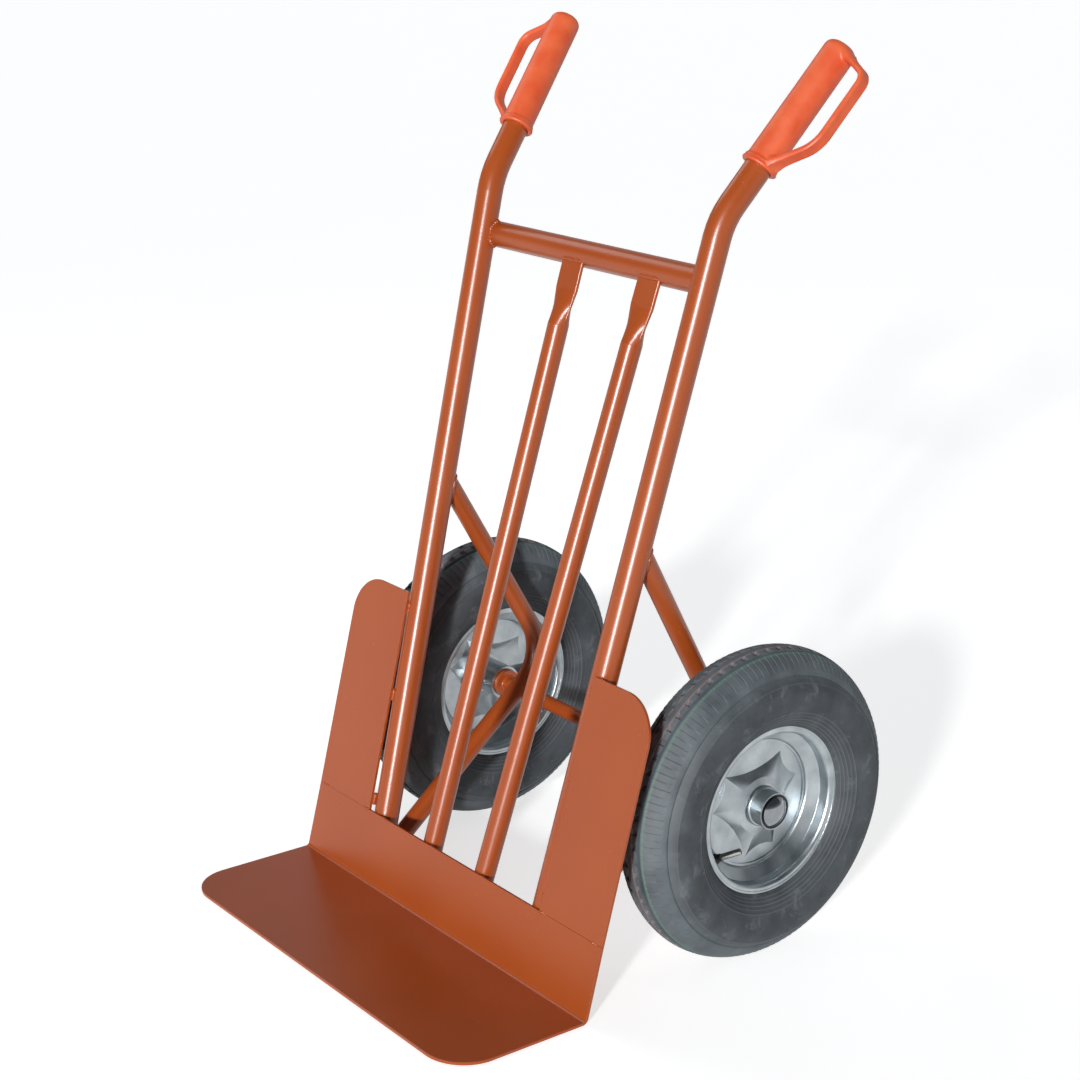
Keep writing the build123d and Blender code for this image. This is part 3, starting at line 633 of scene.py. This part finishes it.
for hand, side in (("left", -1), ("right", 1)):
    handle = Vector((side * handle_splay, sin(handle_tilt), cos(handle_tilt))).normalized()
    aside = (sideways * side - handle * (side * handle.x)).normalized()
    front = aside.cross(handle)
    mouth = rail_at(side, bend_at) + handle * grip_start

    # The sleeve as a row of circles: down the bore from its blind end, round the mouth, along the
    # outside and over the closed end
    profile = [(0.3 * mm, bore_length), (bore_r, bore_length), (bore_r, 0.0)]
    for at, width, valley, crest in mouth_beads:
        for k in range(9):
            t = pi * k / 8
            lift = valley + (crest - valley) * sin(t)
            profile.append((grip_r + lift, at + width * (1 - cos(t)) / 2))
    profile += [(grip_r, beads_end), (end_r, grip_length - end_round)]
    for k in range(1, 9):
        t = pi / 2 * k / 8
        profile.append((end_r - end_round * (1 - cos(t)), grip_length - end_round * (1 - sin(t))))
    profile.append((0.3 * mm, grip_length))
    rings = []
    for radius, along in profile:
        rings.append([
            mouth + handle * along + (aside * cos(t) + front * sin(t)) * radius
            for t in (2 * pi * k / 72 for k in range(72))
        ])
    sleeve = skin(f"{hand}_sleeve", rings)

    # The guard as a swept strap with eased edges, a shallow channel on one side and spread roots
    route = rounded_route(guard_corners, guard_rounds)
    rings = []
    for i, point in enumerate(route):
        way = (route[min(i + 1, len(route) - 1)] - route[max(i - 1, 0)]).normalized()
        out = Vector((way.y, -way.x))
        spread = 1 + 0.55 * exp(-max(point.x - grip_r, 0.0) / (5.0 * mm))
        half_width = guard_half_width * (0.4 + 0.6 * spread)
        ring = []
        for wide, thick in guard_outline:
            flat = point + out * thick * guard_half_thick * spread
            ring.append(mouth + aside * flat.x + handle * flat.y + front * wide * half_width)
        rings.append(ring)
    strap = skin(f"{hand}_strap", rings)

    # Both are melted into one skin, and the joints are smoothed as the mould's fillets are. The
    # beads at the mouth are smoothed least, so that they stay crisp
    work = bmesh.new()
    work.from_mesh(sleeve)
    work.from_mesh(strap)
    rough = bpy.data.meshes.new(f"{hand}_grip_rough")
    work.to_mesh(rough)
    work.free()
    grip = put(f"{hand}_moulded_grip", rough)
    remesh = grip.modifiers.new("one_skin", "REMESH")
    remesh.mode = "VOXEL"
    remesh.voxel_size = voxel
    bpy.context.view_layer.update()
    melted = grip.evaluated_get(bpy.context.evaluated_depsgraph_get())
    moulded = bpy.data.meshes.new_from_object(melted)
    grip.modifiers.clear()
    work = bmesh.new()
    work.from_mesh(moulded)
    past_beads = [v for v in work.verts if (v.co - mouth).dot(handle) > 10.5 * mm]
    for verts, factor in [(past_beads, 0.5)] * 7 + [(work.verts, 0.4)]:
        bmesh.ops.smooth_vert(
            work, verts=verts, factor=factor, use_axis_x=True, use_axis_y=True, use_axis_z=True
        )
    work.to_mesh(moulded)
    work.free()
    moulded.shade_smooth()
    moulded.materials.clear()
    moulded.materials.append(vinyl)
    grip.data = moulded
    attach(grip, "frame")
    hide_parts(f"{hand}_grip")

# Floor, light and camera
# A plain pale floor in a studio that is white at the horizon and dim above. A low sun and a tall
# strip stand at the front right, with a soft lamp above on the left and a weak soft sun behind.
floor_half, floor_z, floor_glow = 90.0, -0.0005, 0.67
strip_away, strip_angle, strip_high = 4.0, radians(32), 1.01

# Matt floor paint: an even pale grey that meets the eye and reflections as white but keeps shadows
floor_paint, tree, shader = finish_of("matt_pale_floor_paint")
mottle = blend(tree, noise(tree, size=400, detail=2.0), (0.0, "#E2E2E1"), (1.0, "#E6E6E6"))
tree.links.new(mottle, shader.inputs["Base Color"])
shader.inputs["Roughness"].default_value = 0.9
shader.inputs["Specular IOR Level"].default_value = 0.1
seen = add(tree, "ShaderNodeLightPath").outputs
direct = worked(tree, "MAXIMUM", seen["Is Camera Ray"], seen["Is Glossy Ray"])
direct = worked(tree, "MAXIMUM", direct, seen["Is Transmission Ray"])
tree.links.new(worked(tree, "MULTIPLY", direct, floor_glow), shader.inputs["Emission Strength"])
shader.inputs["Emission Color"].default_value = colour("#FFFFFF")
floor_mesh = bpy.data.meshes.new("floor")
corner_signs = ((-1, -1), (1, -1), (1, 1), (-1, 1))
corners = [(x * floor_half, y * floor_half, floor_z) for x, y in corner_signs]
floor_mesh.from_pydata(corners, [], [(0, 1, 2, 3)])
floor_mesh.materials.append(floor_paint)
floor = put("floor", floor_mesh)

world = bpy.data.worlds.new("studio")
bpy.context.scene.world = world
world.use_nodes = True
tree = world.node_tree
tree.nodes.clear()
place = add(tree, "ShaderNodeTexCoord").outputs["Generated"]
height = add(tree, "ShaderNodeSeparateXYZ", {"Vector": place}).outputs["Z"]
shade = add(tree, "ShaderNodeValToRGB", {"Fac": height})
shade.color_ramp.elements[0].color = colour("#FFFFFF")
shade.color_ramp.elements[1].color = colour("#43474C")
for share, code in ((0.03, "#F2F3F4"), (0.09, "#8C9094"), (0.26, "#565B61")):
    shade.color_ramp.elements.new(share).color = colour(code)
studio = add(tree, "ShaderNodeBackground", {"Color": shade.outputs["Color"]})
add(tree, "ShaderNodeOutputWorld", {"Surface": studio.outputs[0]})


def lamp(name, kind, energy, way):
    """A lamp that shines along a direction."""
    made = put(name, bpy.data.lights.new(name, kind))
    made.data.energy = energy
    made.rotation_euler = Vector(way).to_track_quat("-Z", "Y").to_euler()
    return made


# The sun lights the object but gives no reflection of its own
key = lamp("key", "SUN", 2.65, (-0.6745, 1.0, -0.364))
key.data.angle = radians(4)
key.visible_glossy = False

# The strip is seen only in reflections, as the long highlights on the tubes. It leaves out the toe
# plate, which would glare to white from behind, and the valve caps
strip_at = Vector((strip_away * sin(strip_angle), -strip_away * cos(strip_angle), strip_high))
strip = lamp("strip", "AREA", 320.0, (-strip_at.x, -strip_at.y, 0.0))
strip.location = strip_at
strip.data.shape = "RECTANGLE"
strip.data.size = 0.40
strip.data.size_y = 2.0
strip.visible_camera = False
strip.visible_diffuse = False
spared = bpy.data.collections.new("spared_by_the_strip")
for name in ("toe_plate", "left_valve_cap", "right_valve_cap"):
    spared.objects.link(nodes[name])
strip.light_linking.receiver_collection = spared
for member in spared.collection_objects:
    member.light_linking.link_state = "EXCLUDE"

overhead_at = Vector((-2.3, -0.2, 2.7))
overhead = lamp("overhead", "AREA", 14.0, Vector((0.0, 0.2, 0.8)) - overhead_at)
overhead.location = overhead_at
overhead.data.shape = "SQUARE"
overhead.data.size = 1.4
overhead.visible_camera = False

fill = lamp("fill", "SUN", 0.6, (0.25, -0.9, -0.3))
fill.data.angle = radians(90)

# The camera stands where the photographer stood
view_angle, height_angle, roll = radians(52.0778), radians(17.1047), radians(0.7251)
to_camera = Vector((
    sin(view_angle) * cos(height_angle), -cos(view_angle) * cos(height_angle), sin(height_angle)
))
level = (-to_camera).cross(Vector((0, 0, 1))).normalized()
raised = level.cross(-to_camera)
right = level * cos(roll) + raised * sin(roll)
upright = raised * cos(roll) - level * sin(roll)
camera = put("camera", bpy.data.cameras.new("camera"))
camera.data.lens = 74.583
camera.data.sensor_width = 36.0
camera.matrix_world = Matrix((
    (right.x, upright.x, to_camera.x, 2.11123),
    (right.y, upright.y, to_camera.y, -1.63193),
    (right.z, upright.z, to_camera.z, 1.31352),
    (0, 0, 0, 1),
))
bpy.context.scene.camera = camera
bpy.context.scene.view_settings.view_transform = "Standard"
